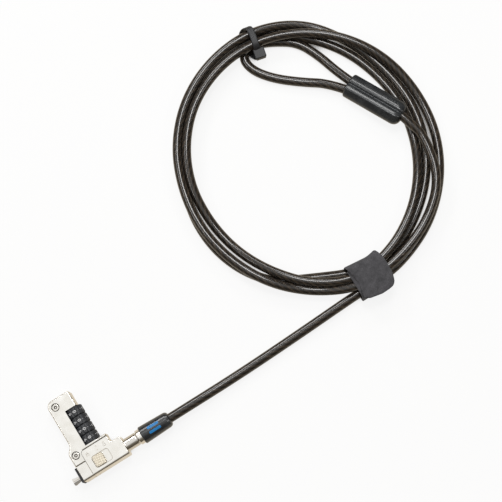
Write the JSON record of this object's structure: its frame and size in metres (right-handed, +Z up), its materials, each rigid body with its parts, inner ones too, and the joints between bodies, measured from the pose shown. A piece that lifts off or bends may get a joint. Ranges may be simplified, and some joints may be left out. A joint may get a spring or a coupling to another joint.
{
  "type": "laptop cable lock",
  "caption": "Combination cable lock with an L-shaped metal head, number dials, sliding release, wedge tip, swivel and a coiled plastic-coated cable ending in a crimped eye.",
  "frame": {"origin": "on the lock head's flat back, directly under the crossing of the dial axis and the swivel axis; this is also the plane the lock lies on", "axes": "+X along the bar from the wedge tip towards the cable, +Y along the dial arm away from the bar, +Z up out of the face with the numbers"},
  "size_m": [0.2887, 0.1772, 0.0138],
  "materials": {
    "nickel_casting": "satin",
    "button_metal": "matte",
    "bright_steel": "satin",
    "chrome_plate": "polished",
    "spring_steel": "satin",
    "brass_inner": "satin",
    "black_dial": "matte",
    "black_rubber": "matte",
    "black_moulding": "gloss",
    "cable_jacket": "gloss",
    "black_nylon": "satin",
    "black_fabric": "matte"
  },
  "bodies": {
    "cable_side": {"swivel_pin": "spring_steel", "swivel_collar": "chrome_plate", "cable_ferrule": "spring_steel", "cable_sleeve": "black_moulding", "cable_lead": "cable_jacket", "cable_coil": "cable_jacket", "cable_eye": "cable_jacket", "crimp_sleeve": "black_moulding", "crimp_core": "spring_steel", "cable_tie": "black_nylon", "hook_loop_strap": "black_fabric"},
    "head": {"arm_housing": "nickel_casting", "bar_housing": "nickel_casting", "nose_block": "nickel_casting", "back_plate": "nickel_casting", "nose_pad": "black_rubber", "housing_screws": "bright_steel", "detent_spring": "spring_steel", "spindle_spring": "spring_steel", "reset_spring": "spring_steel", "jaw_pins": "spring_steel", "swivel_stub": "chrome_plate"},
    "dial_one": {"dial_wheel_1": "black_dial", "dial_hub_1": "brass_inner"},
    "dial_two": {"dial_wheel_2": "black_dial", "dial_hub_2": "brass_inner"},
    "dial_three": {"dial_wheel_3": "black_dial", "dial_hub_3": "brass_inner"},
    "dial_four": {"dial_wheel_4": "black_dial", "dial_hub_4": "brass_inner"},
    "slide": {"release_button": "button_metal", "slide_carriage": "nickel_casting", "locking_pin": "spring_steel"},
    "spindle": {"dial_spindle": "spring_steel"},
    "jaw_upper": {"upper_jaw": "bright_steel"},
    "jaw_lower": {"lower_jaw": "bright_steel"},
    "plunger": {"reset_plunger": "spring_steel"}
  },
  "joints": [
    {"name": "head_swivel", "type": "hinge", "parent": "cable_side", "child": "head", "pos_m": [0.018, 0, 0.0055], "axis": [1, 0, 0], "continuous": true},
    {"name": "dial_one_turn", "type": "hinge", "parent": "head", "child": "dial_one", "pos_m": [0, 0.0145, 0.0062], "axis": [0, 1, 0], "continuous": true},
    {"name": "dial_two_turn", "type": "hinge", "parent": "head", "child": "dial_two", "pos_m": [0, 0.0202, 0.0062], "axis": [0, 1, 0], "continuous": true},
    {"name": "dial_three_turn", "type": "hinge", "parent": "head", "child": "dial_three", "pos_m": [0, 0.0258, 0.0062], "axis": [0, 1, 0], "continuous": true},
    {"name": "dial_four_turn", "type": "hinge", "parent": "head", "child": "dial_four", "pos_m": [0, 0.0315, 0.0062], "axis": [0, 1, 0], "continuous": true},
    {"name": "release_slide", "type": "slide", "parent": "head", "child": "slide", "axis": [1, 0, 0], "range_m": [0, 0.0036]},
    {"name": "spindle_shift", "type": "slide", "parent": "head", "child": "spindle", "axis": [0, 1, 0], "range_m": [0, 0.0009], "stiffness_N_per_m": 150, "springref_m": -0.001},
    {"name": "upper_jaw_swing", "type": "hinge", "parent": "head", "child": "jaw_upper", "pos_m": [-0.011, -0.00055, 0.0055], "axis": [0, 0, 1], "range_deg": [0, 1.3]},
    {"name": "lower_jaw_swing", "type": "hinge", "parent": "head", "child": "jaw_lower", "pos_m": [-0.011, -0.00375, 0.0055], "axis": [0, 0, 1], "range_deg": [-1.3, 0]},
    {"name": "reset_push", "type": "slide", "parent": "head", "child": "plunger", "axis": [0, 1, 0], "range_m": [0, 0.001], "stiffness_N_per_m": 200, "springref_m": -0.001}
  ],
  "couplings": [
    {"joint": "spindle_shift", "follows": "release_slide", "ratio": 0.25},
    {"joint": "upper_jaw_swing", "follows": "release_slide", "rad_per_m": 6.3},
    {"joint": "lower_jaw_swing", "follows": "release_slide", "rad_per_m": -6.3}
  ]
}
